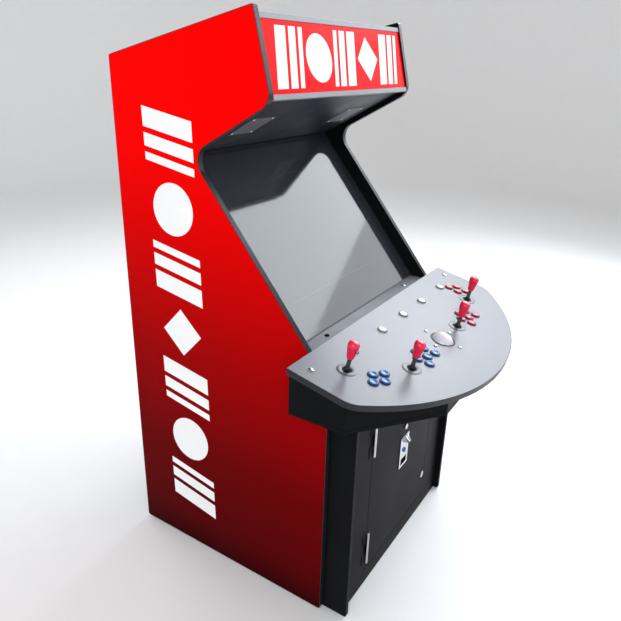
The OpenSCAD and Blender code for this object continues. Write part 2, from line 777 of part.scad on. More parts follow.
module fixings() {
  third = hinge_len / 3;
  color("silver") placed() {
    at_deck() {
      for (p = DECK_BOLTS) translate(p) domed_bolt(9, 4.5, 3.8, 30);
      for (a = [0 : 90 : 270])
        translate(ball_at + ball_bolt_r * [cos(a), sin(a)]) domed_bolt(6.5, 3.6, 2.8, deck_t);
    }
    for (x = LEDGE_BOLT_X) translate([x, -deck_back + 29, ledge_z]) domed_bolt(8, 4.5, 3.8, 28);
    for (z = hinge_z) {
      for (side = [-1, 1])
        translate([0, 0, z + side * third - third / 2]) {
          knuckle(0, third, hinge_pin_r - 0.5);
          block([hinge_x - leaf_w, face_y - leaf_t - gap, 0], [hinge_x - 1.5, face_y - gap, third]);
        }
      translate([hinge_x, hinge_y, z - hinge_len / 2]) cylinder(r = hinge_pin_r, h = hinge_len);
    }
  }
}

// ---- output ----
side_panel_left();
side_panel_right();
edge_moulding();
base_plates();
front_frame();
rear_panel();
end_boards();
marquee_panel();
marquee_retainers();
speaker_board();
speaker_grilles();
screen_glass();
screen_surround();
monitor();
control_top();
control_box();
button_bodies();
control_bases();
cash_box();
electrical_units();
fixings();
feet();
coin_door();
door_metalwork();
reject_button();
door_lock();
trackball();
for (i = [1 : 5]) start_button(i);
for (i = [1 : 6]) p1_button(i);
for (i = [1 : 6]) p2_button(i);
for (i = [1 : 4]) p3_button(i);
for (i = [1 : 4]) p4_button(i);
for (p = [0 : 3]) stick(p);
for (p = [0 : 3]) pivot(p);
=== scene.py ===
"""Looks for a four-player upright arcade cabinet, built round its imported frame."""

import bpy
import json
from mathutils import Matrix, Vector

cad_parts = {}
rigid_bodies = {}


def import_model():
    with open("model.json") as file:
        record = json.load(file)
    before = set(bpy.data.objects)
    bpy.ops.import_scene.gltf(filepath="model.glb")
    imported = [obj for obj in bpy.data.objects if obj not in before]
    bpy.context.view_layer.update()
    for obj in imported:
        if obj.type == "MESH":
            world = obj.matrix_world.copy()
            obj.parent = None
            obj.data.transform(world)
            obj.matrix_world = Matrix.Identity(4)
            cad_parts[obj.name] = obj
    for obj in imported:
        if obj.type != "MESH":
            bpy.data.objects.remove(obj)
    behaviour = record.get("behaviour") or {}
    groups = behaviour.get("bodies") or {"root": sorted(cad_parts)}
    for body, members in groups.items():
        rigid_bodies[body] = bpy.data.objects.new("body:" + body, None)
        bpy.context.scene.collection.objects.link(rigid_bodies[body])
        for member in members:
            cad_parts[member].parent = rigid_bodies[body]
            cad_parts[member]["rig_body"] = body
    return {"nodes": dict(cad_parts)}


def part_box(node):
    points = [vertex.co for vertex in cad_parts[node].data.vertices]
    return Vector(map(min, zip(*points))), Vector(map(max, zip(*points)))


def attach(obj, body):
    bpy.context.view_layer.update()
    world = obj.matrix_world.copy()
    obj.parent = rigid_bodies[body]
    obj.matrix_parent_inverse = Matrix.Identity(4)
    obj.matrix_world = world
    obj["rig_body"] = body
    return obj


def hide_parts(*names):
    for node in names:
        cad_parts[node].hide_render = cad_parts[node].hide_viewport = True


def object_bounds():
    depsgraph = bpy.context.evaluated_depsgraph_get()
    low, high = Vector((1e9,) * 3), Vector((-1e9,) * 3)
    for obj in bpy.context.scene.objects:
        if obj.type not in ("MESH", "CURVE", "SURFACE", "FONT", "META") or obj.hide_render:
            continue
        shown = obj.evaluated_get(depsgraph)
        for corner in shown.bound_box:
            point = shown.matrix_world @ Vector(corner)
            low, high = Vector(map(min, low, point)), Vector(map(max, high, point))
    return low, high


bl_info = {
    "name": "Arcade Cabinet",
    "version": (1, 0, 0),
    "blender": (4, 5, 0),
    "location": "View3D > Sidebar > Cabinet",
    "description": "Finishes, artwork and fittings for an upright arcade cabinet",
    "category": "Object",
}

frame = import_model()

import json
import math

import bmesh
import bpy
from bpy.props import FloatProperty, FloatVectorProperty, PointerProperty
from mathutils import Matrix, Vector

NODES = frame["nodes"]
CAD_BOX = [list(corner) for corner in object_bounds()]
ACROSS = Vector((1, 0, 0))
MM = 0.001
ROUND_STEPS = 48
FLOOR_STEPS = 96
BOARD_BLACK = (0.0055, 0.006, 0.0072)


# ---- sizes and colours that a user would change ----
def length_prop(name, text, default):
    return FloatProperty(name=name, description=text, default=default, min=0, unit="LENGTH", precision=4)


def colour_prop(name, text, default):
    return FloatVectorProperty(name=name, description=text, default=default, size=3, subtype="COLOR",
                               min=0, max=1)


class CabinetArt(bpy.types.PropertyGroup):
    """Printed artwork on the sides and the marquee"""
    top_red: colour_prop("Top red", "Side colour at the top", (1.0, 0.0, 0.0))
    low_red: colour_prop("Low red", "Side colour at the floor", (0.03, 0.0, 0.001))
    ink: colour_prop("Ink", "Colour of the printed shapes", (0.95, 0.95, 0.95))
    band_width: length_prop("Band width", "Breadth of the printed band on a side", 0.19)
    band_low: length_prop("Band low end", "Height of the band's lower end", 0.15)
    band_high: length_prop("Band high end", "Height of the band's upper end", 1.529)
    band_from_rear: length_prop("Band from rear", "Distance of the band's lower end from the rear", 0.25)
    band_lean: FloatProperty(name="Band lean", description="Rearward lean of the band", default=-1.5)
    film: length_prop("Film", "Thickness of the printed film", 0.0003)
    marquee_margin: length_prop("Marquee margin", "Red left free at each end of the marquee", 0.03)
    marquee_share: FloatProperty(name="Marquee share", description="Printed share of the marquee's height",
                                 default=0.84, min=0.2, max=0.95)


class CabinetTrim(bpy.types.PropertyGroup):
    """Edges and small fittings"""
    board_ease: length_prop("Board ease", "Rounding of the boards' edges", 0.0008)
    metal_ease: length_prop("Metal ease", "Rounding of metal edges", 0.0004)
    moulding_ease: length_prop("Moulding ease", "Rounding of the edge moulding", 0.0009)
    screw_radius: length_prop("Screw radius", "Radius of a small screw's head", 0.0035)
    grille_pitch: length_prop("Grille pitch", "Spacing of the grilles' holes", 0.0044)
    grille_hole: length_prop("Grille hole", "Radius of a grille's hole", 0.0014)
    picture_trim: length_prop("Picture trim", "Width of the bright trim round the picture", 0.004)


class CabinetControls(bpy.types.PropertyGroup):
    """Buttons, sticks and trackball"""
    start: colour_prop("Start", "Start buttons", (0.86, 0.86, 0.85))
    blue: colour_prop("Blue", "Left-hand players' buttons", (0.012, 0.12, 0.4))
    pink: colour_prop("Pink", "Third station's buttons", (0.72, 0.035, 0.12))
    red: colour_prop("Red", "Fourth station's buttons", (0.62, 0.012, 0.03))
    bat: colour_prop("Bat", "Bat tops", (0.8, 0.006, 0.055))
    bezel_radius: length_prop("Bezel radius", "Outer radius of a button's bezel", 0.0165)
    bezel_height: length_prop("Bezel height", "Height of a bezel above the deck", 0.0034)
    washer_radius: length_prop("Washer radius", "Radius of a dust washer", 0.029)
    washer_hole: length_prop("Washer hole", "Radius of a dust washer's hole", 0.0145)
    ring_radius: length_prop("Ring radius", "Outer radius of the trackball's ring", 0.0393)


class CabinetStage(bpy.types.PropertyGroup):
    """Floor, lights and camera"""
    camera_at: FloatVectorProperty(name="Camera at", description="Place of the camera",
                                   default=(-1.6932, -0.9477, 1.658), subtype="TRANSLATION")
    yaw: FloatProperty(name="Yaw", description="Turn of the view from +Y towards +X, in degrees",
                       default=56.75)
    pitch: FloatProperty(name="Pitch", description="Rise of the view, in degrees", default=-21.68)
    roll: FloatProperty(name="Roll", description="Roll of the camera, in degrees", default=1.2)
    lens: FloatProperty(name="Lens", description="Focal length on a 36 mm sensor", default=35.46)
    shift_x: FloatProperty(name="Shift across", description="Sideways shift of the lens", default=0.0188)
    shift_y: FloatProperty(name="Shift up", description="Upward shift of the lens", default=-0.0138)
    floor_radius: length_prop("Floor radius", "Radius of the pale floor", 7.0)
    sky: FloatProperty(name="Sky", description="Strength of the even light", default=0.52, min=0)


# ---- node trees for materials ----
def new_material(name):
    material = bpy.data.materials.new(name)
    material.use_nodes = True
    return material, material.node_tree.nodes, material.node_tree.links


def shader_of(nodes):
    return nodes["Principled BSDF"]


def set_shader(shader, **values):
    for key, value in values.items():
        shader.inputs[key.replace("_", " ").title().replace("Ior", "IOR")].default_value = value


def grain(nodes, links, scale, detail=4.0, stretch=(1, 1, 1)):
    """A noise field on Object coordinates, as its Fac socket."""
    place = nodes.new("ShaderNodeTexCoord")
    turn = nodes.new("ShaderNodeMapping")
    turn.inputs["Scale"].default_value = stretch
    noise = nodes.new("ShaderNodeTexNoise")
    noise.inputs["Scale"].default_value = scale
    noise.inputs["Detail"].default_value = detail
    links.new(place.outputs["Object"], turn.inputs["Vector"])
    links.new(turn.outputs["Vector"], noise.inputs["Vector"])
    return noise.outputs["Fac"]


def mixed(nodes, links, factor, low, high, span=(0.35, 0.65)):
    """Colour from low to high as factor goes through span."""
    ramp = nodes.new("ShaderNodeValToRGB")
    ramp.color_ramp.elements[0].position = span[0]
    ramp.color_ramp.elements[1].position = span[1]
    ramp.color_ramp.elements[0].color = (*low, 1)
    ramp.color_ramp.elements[1].color = (*high, 1)
    links.new(factor, ramp.inputs["Fac"])
    return ramp.outputs["Color"]


def spread(nodes, links, factor, low, high):
    """Number from low to high as factor goes from 0.3 to 0.7."""
    ranged = nodes.new("ShaderNodeMapRange")
    ranged.inputs["From Min"].default_value = 0.3
    ranged.inputs["From Max"].default_value = 0.7
    ranged.inputs["To Min"].default_value = low
    ranged.inputs["To Max"].default_value = high
    links.new(factor, ranged.inputs["Value"])
    return ranged.outputs["Result"]


def add_bump(nodes, links, shader, height, strength, distance=0.0004):
    bump = nodes.new("ShaderNodeBump")
    bump.inputs["Strength"].default_value = strength
    bump.inputs["Distance"].default_value = distance
    links.new(height, bump.inputs["Height"])
    links.new(bump.outputs["Normal"], shader.inputs["Normal"])


def finish_of(name, colour, roughness, shade=0.8, colour_scale=9.0, bump_scale=900.0, bump=0.2,
              stretch=(1, 1, 1), **extra):
    """A surface whose colour and gloss vary a little, with a fine texture in its normal."""
    material, nodes, links = new_material(name)
    shader = shader_of(nodes)
    broad = grain(nodes, links, colour_scale, stretch=stretch)
    fine = grain(nodes, links, bump_scale, 2.0, stretch)
    dark = tuple(c * shade for c in colour)
    links.new(mixed(nodes, links, broad, dark, colour), shader.inputs["Base Color"])
    links.new(spread(nodes, links, broad, roughness * 0.85, min(1.0, roughness * 1.15)),
              shader.inputs["Roughness"])
    add_bump(nodes, links, shader, fine, bump)
    set_shader(shader, **extra)
    return material


def faded_red(art):
    """Printed side film: bright red at the top, fading down to a near black red."""
    material, nodes, links = new_material("faded_red_film")
    shader = shader_of(nodes)
    low, high = Vector(art.low_red), Vector(art.top_red)
    place = nodes.new("ShaderNodeTexCoord")
    split = nodes.new("ShaderNodeSeparateXYZ")
    height = nodes.new("ShaderNodeMapRange")
    height.inputs["From Max"].default_value = CAD_BOX[1][2]
    ramp = nodes.new("ShaderNodeValToRGB")
    stops = ((0.0, 0.0), (0.065, 0.062), (0.23, 0.115), (0.43, 0.31), (0.56, 0.525), (0.78, 0.95),
             (0.9, 1.0))
    while len(ramp.color_ramp.elements) < len(stops):
        ramp.color_ramp.elements.new(0.5)
    for element, (at, share) in zip(ramp.color_ramp.elements, stops):
        element.position = at
        element.color = (*low.lerp(high, share), 1)
    links.new(place.outputs["Object"], split.inputs["Vector"])
    links.new(split.outputs["Z"], height.inputs["Value"])
    links.new(height.outputs["Result"], ramp.inputs["Fac"])
    away = nodes.new("ShaderNodeMath")
    away.operation = "ABSOLUTE"
    outer = nodes.new("ShaderNodeMath")
    outer.operation = "GREATER_THAN"
    outer.inputs[1].default_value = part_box("side_panel_right")[0].x + MM
    blend = nodes.new("ShaderNodeMix")
    blend.data_type = "RGBA"
    blend.inputs["A"].default_value = (*BOARD_BLACK, 1)
    links.new(split.outputs["X"], away.inputs[0])
    links.new(away.outputs["Value"], outer.inputs[0])
    links.new(outer.outputs["Value"], blend.inputs["Factor"])
    links.new(ramp.outputs["Color"], blend.inputs["B"])
    links.new(blend.outputs["Result"], shader.inputs["Base Color"])
    gloss = grain(nodes, links, 6.0)
    links.new(spread(nodes, links, gloss, 0.42, 0.52), shader.inputs["Roughness"])
    add_bump(nodes, links, shader, grain(nodes, links, 700.0, 2.0), 0.06)
    set_shader(shader, specular_ior_level=0.02)
    return material


def lit_sheet(name, colour, glow):
    """Back-lit acrylic: glossy, with an uneven glow."""
    material = finish_of(name, colour, 0.18, shade=0.94, colour_scale=3.0, bump=0.03)
    nodes, links = material.node_tree.nodes, material.node_tree.links
    shader = shader_of(nodes)
    field = grain(nodes, links, 2.5, 1.0)
    links.new(mixed(nodes, links, field, tuple(0.9 * c for c in colour), colour),
              shader.inputs["Emission Color"])
    set_shader(shader, emission_strength=glow, specular_ior_level=0.03)
    return material


def smoked_glass():
    material = finish_of("smoked_glass", (0.04, 0.045, 0.056), 0.07, bump_scale=3.0, bump=0.0005,
                         specular_ior_level=1.0)
    set_shader(shader_of(material.node_tree.nodes), alpha=0.7)
    return material


def brushed(name, colour, roughness, stretch=(1, 1, 40)):
    return finish_of(name, colour, roughness, shade=0.75, colour_scale=60.0, bump_scale=300.0, bump=0.12,
                     stretch=stretch, metallic=1.0)


def plastic(name, colour, roughness=0.2):
    return finish_of(name, colour, roughness, shade=0.9, colour_scale=25.0, bump_scale=1500.0, bump=0.05,
                     subsurface_weight=0.05, coat_weight=0.3, coat_roughness=0.08)


def make_finishes(scene):
    art, controls = scene.cabinet_art, scene.cabinet_controls
    return {
        "faded_red": faded_red(art),
        "printed_white": finish_of("printed_white_film", tuple(art.ink), 0.45, shade=0.97, bump=0.05,
                                   specular_ior_level=0.2),
        "marquee_red": lit_sheet("lit_red_sheet", (0.8, 0.001, 0.002), 0.12),
        "marquee_white": lit_sheet("lit_white_film", tuple(art.ink), 0.12),
        "moulding": finish_of("edge_vinyl", (0.012, 0.014, 0.018), 0.4, bump=0.12, specular_ior_level=0.3),
        "black_board": finish_of("black_laminate", BOARD_BLACK, 0.42, bump=0.3, specular_ior_level=0.04),
        "face_board": finish_of("dark_face_paint", (0.0078, 0.0064, 0.0074), 0.34, colour_scale=4.0,
                                bump=0.3, specular_ior_level=0.02),
        "soffit_board": finish_of("slate_laminate", (0.02, 0.024, 0.036), 0.45, bump=0.3,
                                  specular_ior_level=0.15),
        # The deck is black satin laminate; its base colour is a lighter grey, painted sheen standing in for
        # the reflections that make it look grey.
        "deck": finish_of("deck_laminate", (0.19, 0.2, 0.225), 0.34, shade=0.88, colour_scale=420.0,
                          bump_scale=1100.0, bump=0.3, specular_ior_level=0.5),
        "strip": finish_of("pale_strip", (0.24, 0.25, 0.28), 0.35, bump=0.08, specular_ior_level=0.3),
        "grille": finish_of("perforated_sheet", (0.17, 0.175, 0.2), 0.5, bump=0.1, specular_ior_level=0.3),
        "surround": finish_of("matt_black_board", (0.009, 0.01, 0.013), 0.6, bump=0.2,
                              specular_ior_level=0.15),
        "case": finish_of("moulded_black_case", (0.012, 0.012, 0.014), 0.55, bump=0.4),
        "picture": finish_of("dark_picture", (0.05, 0.053, 0.062), 0.3, shade=0.96, bump=0.02),
        "glass": smoked_glass(),
        "bright_trim": brushed("bright_trim", (0.75, 0.77, 0.8), 0.25, (40, 1, 1)),
        "chrome": finish_of("polished_chrome", (0.55, 0.54, 0.57), 0.12, shade=0.85, bump=0.03,
                            metallic=1.0),
        "steel": brushed("turned_steel", (0.16, 0.165, 0.175), 0.2),
        "zinc": finish_of("zinc_sheet", (0.5, 0.52, 0.54), 0.42, shade=0.65, colour_scale=22.0, bump=0.1,
                          metallic=0.9),
        "black_metal": finish_of("black_metal", (0.016, 0.016, 0.018), 0.32, bump=0.1, metallic=0.6),
        "washer": finish_of("washer_sheet", (0.1, 0.104, 0.115), 0.3, bump=0.05),
        "rubber": finish_of("rubber", (0.014, 0.014, 0.015), 0.7, bump=0.35),
        "nylon": finish_of("nylon", (0.62, 0.62, 0.6), 0.4, bump=0.1),
        "start": plastic("start_plastic", tuple(controls.start)),
        "blue": plastic("blue_plastic", tuple(controls.blue)),
        "pink": plastic("pink_plastic", tuple(controls.pink)),
        "red": plastic("red_plastic", tuple(controls.red)),
        "bat": plastic("bat_plastic", tuple(controls.bat), 0.24),
        "ball": finish_of("pearl_ball", (0.78, 0.76, 0.82), 0.1, shade=0.9, colour_scale=18.0, bump=0.01,
                          subsurface_weight=0.4, coat_weight=0.6, coat_roughness=0.04),
    }


FINISHES = {}


# ---- planes of the cabinet, read from its frame ----
def extent(node, direction, keep=None):
    reach = [direction.dot(v.co) for v in NODES[node].data.vertices if keep is None or keep(v.co)]
    return min(reach), max(reach)


def plane_of(node, outward):
    """Frame on a board's outer face: X across, Y up the face, Z out of it; and half its size."""
    faces = [p for p in NODES[node].data.polygons if p.normal.dot(outward) > 0.5]
    normal = max(faces, key=lambda p: p.area).normal.normalized()
    up = normal.cross(ACROSS)
    x, y, z = (extent(node, d) for d in (ACROSS, up, normal))
    centre = ACROSS * (x[0] + x[1]) / 2 + up * (y[0] + y[1]) / 2 + normal * z[1]
    matrix = Matrix((ACROSS, up, normal)).transposed().to_4x4()
    matrix.translation = centre
    return matrix, (x[1] - x[0]) / 2, (y[1] - y[0]) / 2


def middle(node):
    low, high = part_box(node)
    return (low + high) / 2


def local(matrix, point):
    return matrix.inverted() @ point


def seated(plane, spot):
    """The plane's turn, moved to a spot."""
    seat = plane.to_3x3().to_4x4()
    seat.translation = spot
    return seat


# ---- meshes and pieces ----
def linked(name, data):
    made = bpy.data.objects.new(name, data)
    bpy.context.scene.collection.objects.link(made)
    return made


def mesh_from(bm, name, smooth_angle=35):
    bmesh.ops.recalc_face_normals(bm, faces=bm.faces)
    mesh = bpy.data.meshes.new(name)
    bm.to_mesh(mesh)
    bm.free()
    mesh.shade_smooth()
    mesh.set_sharp_from_angle(angle=math.radians(smooth_angle))
    return mesh


def piece(name, mesh, finish, body, slot=None, replaces=()):
    """Adds a finished mesh, with its place in its vertices, to a body."""
    made = linked(name, mesh)
    mesh.materials.clear()
    mesh.materials.append(FINISHES[finish])
    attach(made, body)
    if replaces:
        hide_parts(*replaces)
    return made


def repaint(made, finish, test):
    """Gives the faces whose middle passes the test a finish of their own."""
    made.data.materials.append(FINISHES[finish])
    for face in made.data.polygons:
        if test(face.center):
            face.material_index = len(made.data.materials) - 1


def dress(node, finish):
    NODES[node].data.materials.clear()
    NODES[node].data.materials.append(FINISHES[finish])


def baked(source, name):
    """The evaluated mesh of an object, as a plain mesh; the object is removed."""
    evaluated = source.evaluated_get(bpy.context.evaluated_depsgraph_get())
    mesh = bpy.data.meshes.new_from_object(evaluated)
    mesh.name = name
    bpy.data.objects.remove(source)
    return mesh


def islands(bm):
    """Groups of connected faces."""
    left = set(bm.faces)
    while left:
        group, edge = set(), [left.pop()]
        while edge:
            face = edge.pop()
            group.add(face)
            near = {f for v in face.verts for f in v.link_faces} & left
            left -= near
            edge.extend(near)
        yield group


def eased(node, width, keep=None):
    """Merged copy of a CAD node, with flat faces joined and edges rounded. keep picks its solids."""
    bm = bmesh.new()
    bm.from_mesh(NODES[node].data)
    bmesh.ops.remove_doubles(bm, verts=bm.verts, dist=1e-5)
    if keep:
        for group in list(islands(bm)):
            points = [v.co for f in group for v in f.verts]
            if not keep(sum(points, Vector()) / len(points)):
                bmesh.ops.delete(bm, geom=list(group), context="FACES")
    bmesh.ops.dissolve_limit(bm, angle_limit=math.radians(0.4), verts=bm.verts, edges=bm.edges)
    mesh = bpy.data.meshes.new(node + "_eased")
    bm.to_mesh(mesh)
    bm.free()
    mesh.shade_smooth()
    mesh.set_sharp_from_angle(angle=math.radians(32))
    source = linked(node + "_source", mesh)
    bevel = source.modifiers.new("ease", "BEVEL")
    bevel.width = width
    bevel.segments = 2
    bevel.limit_method = "ANGLE"
    bevel.angle_limit = math.radians(40)
    bevel.harden_normals = True
    return baked(source, node + "_eased")


def eased_piece(name, node, width, finish, keep=None, replaces=True, slot=None):
    body = NODES[node]["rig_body"]
    return piece(name, eased(node, width, keep), finish, body, slot, [node] if replaces else ())


def lathe(profile, name="turned", steps=ROUND_STEPS, smooth_angle=35):
    """Closed solid turned about Z from (radius, height) points that end on the axis or meet."""
    bm = bmesh.new()
    rings = []
    for radius, height in profile:
        if radius < 1e-7:
            rings.append([bm.verts.new((0, 0, height))])
        else:
            turns = [2 * math.pi * i / steps for i in range(steps)]
            rings.append([bm.verts.new((radius * math.cos(a), radius * math.sin(a), height))
                          for a in turns])
    hollow = len(rings[0]) > 1
    pairs = list(zip(rings, rings[1:])) + ([(rings[-1], rings[0])] if hollow else [])
    for first, second in pairs:
        for i in range(steps):
            k = (i + 1) % steps
            corners = [first[i % len(first)], first[k % len(first)],
                       second[k % len(second)], second[i % len(second)]]
            unique = list(dict.fromkeys(corners))
            if len(unique) > 2:
                bm.faces.new(unique)
    return mesh_from(bm, name, smooth_angle)


def curve_through(points, steps=6):
    """Points on a smooth curve through the given ones."""
    line = []
    for i in range(len(points) - 1):
        a, b, c, d = (Vector(points[min(max(k, 0), len(points) - 1)]) for k in range(i - 1, i + 3))
        for s in range(steps):
            t = s / steps
            line.append(0.5 * (2 * b + (c - a) * t + (2 * a - 5 * b + 4 * c - d) * t * t
                               + (3 * b - a - 3 * c + d) * t * t * t))
    line.append(Vector(points[-1]))
    return [(max(0.0, p.x), p.y) for p in line]


def rounded_block(size, radius, name="block", segments=3):
    """Block centred on the origin, with all its edges rounded."""
    bm = bmesh.new()
    bmesh.ops.create_cube(bm, size=1)
    bmesh.ops.scale(bm, vec=size, verts=bm.verts)
    bmesh.ops.bevel(bm, geom=bm.edges[:], offset=radius, segments=segments, profile=0.5, affect="EDGES")
    return mesh_from(bm, name)


def joined(meshes, name):
    bm = bmesh.new()
    for mesh in meshes:
        bm.from_mesh(mesh)
    return mesh_from(bm, name)


def moved(mesh, matrix):
    mesh.transform(matrix)
    return mesh


# ---- Geometry Nodes trees ----
def new_tree(name, inputs):
    """Empty tree with a geometry in and out, and inputs given as (name, kind of socket)."""
    tree = bpy.data.node_groups.new(name, "GeometryNodeTree")
    for label, kind in (("Geometry", "Geometry"), *inputs):
        tree.interface.new_socket(label, in_out="INPUT", socket_type="NodeSocket" + kind)
    tree.interface.new_socket("Geometry", in_out="OUTPUT", socket_type="NodeSocketGeometry")
    return tree, tree.nodes, tree.links


def repeat_tree():
    """Puts a template on every point."""
    tree, nodes, links = new_tree("repeat_on_points", (("Template", "Object"), ("Turn", "Rotation"),
                                                       ("Size", "Float"), ("Finish", "Material")))
    entry, leave = nodes.new("NodeGroupInput"), nodes.new("NodeGroupOutput")
    info = nodes.new("GeometryNodeObjectInfo")
    place = nodes.new("GeometryNodeInstanceOnPoints")
    real = nodes.new("GeometryNodeRealizeInstances")
    paint = nodes.new("GeometryNodeSetMaterial")
    links.new(entry.outputs["Template"], info.inputs["Object"])
    links.new(entry.outputs["Geometry"], place.inputs["Points"])
    links.new(info.outputs["Geometry"], place.inputs["Instance"])
    links.new(entry.outputs["Turn"], place.inputs["Rotation"])
    links.new(entry.outputs["Size"], place.inputs["Scale"])
    links.new(place.outputs["Instances"], real.inputs["Geometry"])
    links.new(real.outputs["Geometry"], paint.inputs["Geometry"])
    links.new(entry.outputs["Finish"], paint.inputs["Material"])
    links.new(paint.outputs["Geometry"], leave.inputs["Geometry"])
    return tree


def grille_tree():
    """Square sheet with round holes in rows, one closed cell repeated over a grid."""
    tree, nodes, links = new_tree("perforated_sheet", (("Side", "Float"), ("Pitch", "Float"),
                                                       ("Hole", "Float"), ("Rows", "Int"),
                                                       ("Finish", "Material")))
    entry, leave = nodes.new("NodeGroupInput"), nodes.new("NodeGroupOutput")
    square = nodes.new("GeometryNodeCurvePrimitiveQuadrilateral")
    circle = nodes.new("GeometryNodeCurvePrimitiveCircle")
    circle.inputs["Resolution"].default_value = 8
    both = nodes.new("GeometryNodeJoinGeometry")
    fill = nodes.new("GeometryNodeFillCurve")
    grid = nodes.new("GeometryNodeMeshGrid")
    place = nodes.new("GeometryNodeInstanceOnPoints")
    real = nodes.new("GeometryNodeRealizeInstances")
    weld = nodes.new("GeometryNodeMergeByDistance")
    weld.inputs["Distance"].default_value = 1e-5
    paint = nodes.new("GeometryNodeSetMaterial")
    links.new(entry.outputs["Pitch"], square.inputs["Width"])
    links.new(entry.outputs["Pitch"], square.inputs["Height"])
    links.new(entry.outputs["Hole"], circle.inputs["Radius"])
    links.new(square.outputs["Curve"], both.inputs["Geometry"])
    links.new(circle.outputs["Curve"], both.inputs["Geometry"])
    links.new(both.outputs["Geometry"], fill.inputs["Curve"])
    for key in ("Size X", "Size Y"):
        links.new(entry.outputs["Side"], grid.inputs[key])
    for key in ("Vertices X", "Vertices Y"):
        links.new(entry.outputs["Rows"], grid.inputs[key])
    links.new(grid.outputs["Mesh"], place.inputs["Points"])
    links.new(fill.outputs["Mesh"], place.inputs["Instance"])
    links.new(place.outputs["Instances"], real.inputs["Geometry"])
    links.new(real.outputs["Geometry"], weld.inputs["Geometry"])
    links.new(weld.outputs["Geometry"], paint.inputs["Geometry"])
    links.new(entry.outputs["Finish"], paint.inputs["Material"])
    links.new(paint.outputs["Geometry"], leave.inputs["Geometry"])
    return tree


def run_tree(tree, points, values, name):
    """Runs a tree on a mesh of points and gives the plain mesh that it makes."""
    seed = bpy.data.meshes.new(name + "_points")
    seed.from_pydata([tuple(p) for p in points], [], [])
    source = linked(name + "_source", seed)
    modifier = source.modifiers.new("nodes", "NODES")
    modifier.node_group = tree
    for item in tree.interface.items_tree:
        if item.in_out == "INPUT" and item.name in values:
            modifier[item.identifier] = values[item.name]
    return baked(source, name)


def scatter(name, template, points, turn, finish, body, slot=None, replaces=(), size=1.0):
    """One piece with the template mesh standing on every point, turned with the matrix."""
    stand = linked(name + "_template", template)
    tree = bpy.data.node_groups.get("repeat_on_points") or repeat_tree()
    values = {"Template": stand, "Turn": turn.to_euler(), "Size": size, "Finish": FINISHES[finish]}
    mesh = run_tree(tree, points, values, name)
    bpy.data.objects.remove(stand)
    mesh.set_sharp_from_angle(angle=math.radians(35))
    return piece(name, mesh, finish, body, slot, replaces)


def screw_head(radius):
    """Low pan head with a round recess in its middle."""
    outline = ((0, 0.32), (0.22, 0.32), (0.3, 0.62), (0.62, 0.52), (0.9, 0.28), (1, 0), (1, -0.2),
               (0, -0.2))
    return lathe([(r * radius, h * radius) for r, h in outline], "screw", 16, 25)


# ---- artwork ----
def slanted(x, width, breadth, slant):
    half = breadth / 2
    return [(x, -half), (x + width, -half), (x + width + slant, half), (x + slant, half)]


def regular(x, radius, sides, turn=0.0):
    return [(x + radius * math.cos(turn + 2 * math.pi * i / sides),
             radius * math.sin(turn + 2 * math.pi * i / sides)) for i in range(sides)]


def band_shapes(length, breadth):
    """Bold plain shapes in a row: groups of slanted bars, with a disc or a diamond between them."""
    slant, gap, mark = 0.2 * breadth, 0.09 * breadth, 0.84 * breadth
    widths = [share * breadth for share in (0.3, 0.2, 0.12)]
    run = sum(widths) + gap * (len(widths) - 1)
    count = max(1, int((length - slant - run) / (run + mark + 2 * gap)))
    space = (length - slant - (count + 1) * run - count * mark) / (2 * count)
    x, shapes = 0.0, []
    for i in range(count + 1):
        order = widths if i % 2 == 0 else widths[::-1]
        for width in order:
            shapes.append(slanted(x, width, breadth, slant))
            x += width + gap
        x += space - gap
        if i < count:
            sides = (40, 4)[i % 2]
            shapes.append(regular(x + (mark + slant) / 2, mark / 2, sides))
            x += mark + space
    return [[(px - length / 2, py) for px, py in shape] for shape in shapes]


def film_mesh(shapes, thickness, name):
    """Thin closed plates of the shapes in the XY plane, standing from 0 to the thickness."""
    bm = bmesh.new()
    for shape in shapes:
        low = [bm.verts.new((x, y, 0)) for x, y in shape]
        high = [bm.verts.new((x, y, thickness)) for x, y in shape]
        bm.faces.new(low)
        bm.faces.new(high)
        for i in range(len(shape)):
            k = (i + 1) % len(shape)
            bm.faces.new((low[i], low[k], high[k], high[i]))
    return mesh_from(bm, name)


class CABINET_OT_sides(bpy.types.Operator):
    """Faded red side panels with a band of plain white shapes, and the edge moulding"""
    bl_idname = "cabinet.sides"
    bl_label = "Sides"

    def execute(self, context):
        art, trim = context.scene.cabinet_art, context.scene.cabinet_trim
        length = art.band_high - art.band_low
        for side, name in ((-1, "side_panel_left"), (1, "side_panel_right")):
            dress(name, "faded_red")
            low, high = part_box(name)
            face_x = low.x if side < 0 else high.x
            lean = math.radians(art.band_lean)
            along = Vector((0, math.sin(-lean), math.cos(lean)))
            out = Vector((side, 0, 0))
            basis = Matrix((along, out.cross(along), out)).transposed().to_4x4()
            start = Vector((face_x, high.y - art.band_from_rear, art.band_low))
            basis.translation = start + along * length / 2
            film = film_mesh(band_shapes(length, art.band_width), art.film, name + "_band")
            piece(name + "_band", moved(film, basis), "printed_white", "cabinet", "red_laminate")
        eased_piece("edge_moulding_strip", "edge_moulding", trim.moulding_ease, "moulding",
                    slot="edge_vinyl")
        return {"FINISHED"}


class CABINET_OT_boards(bpy.types.Operator):
    """Base plates, face boards, top and floor boards, control box and feet"""
    bl_idname = "cabinet.boards"
    bl_label = "Boards"

    def execute(self, context):
        ease = context.scene.cabinet_trim.board_ease
        for node, finish, slot in (("base_plates", "black_board", "black_board"),
                                   ("front_frame", "face_board", "brown_black_board"),
                                   ("end_boards", "black_board", "black_board"),
                                   ("control_box", "black_board", "black_board")):
            eased_piece(node + "_boards", node, ease, finish, slot=slot)
        eased_piece("glide_feet", "feet", ease, "rubber", slot="foot_plastic")
        return {"FINISHED"}


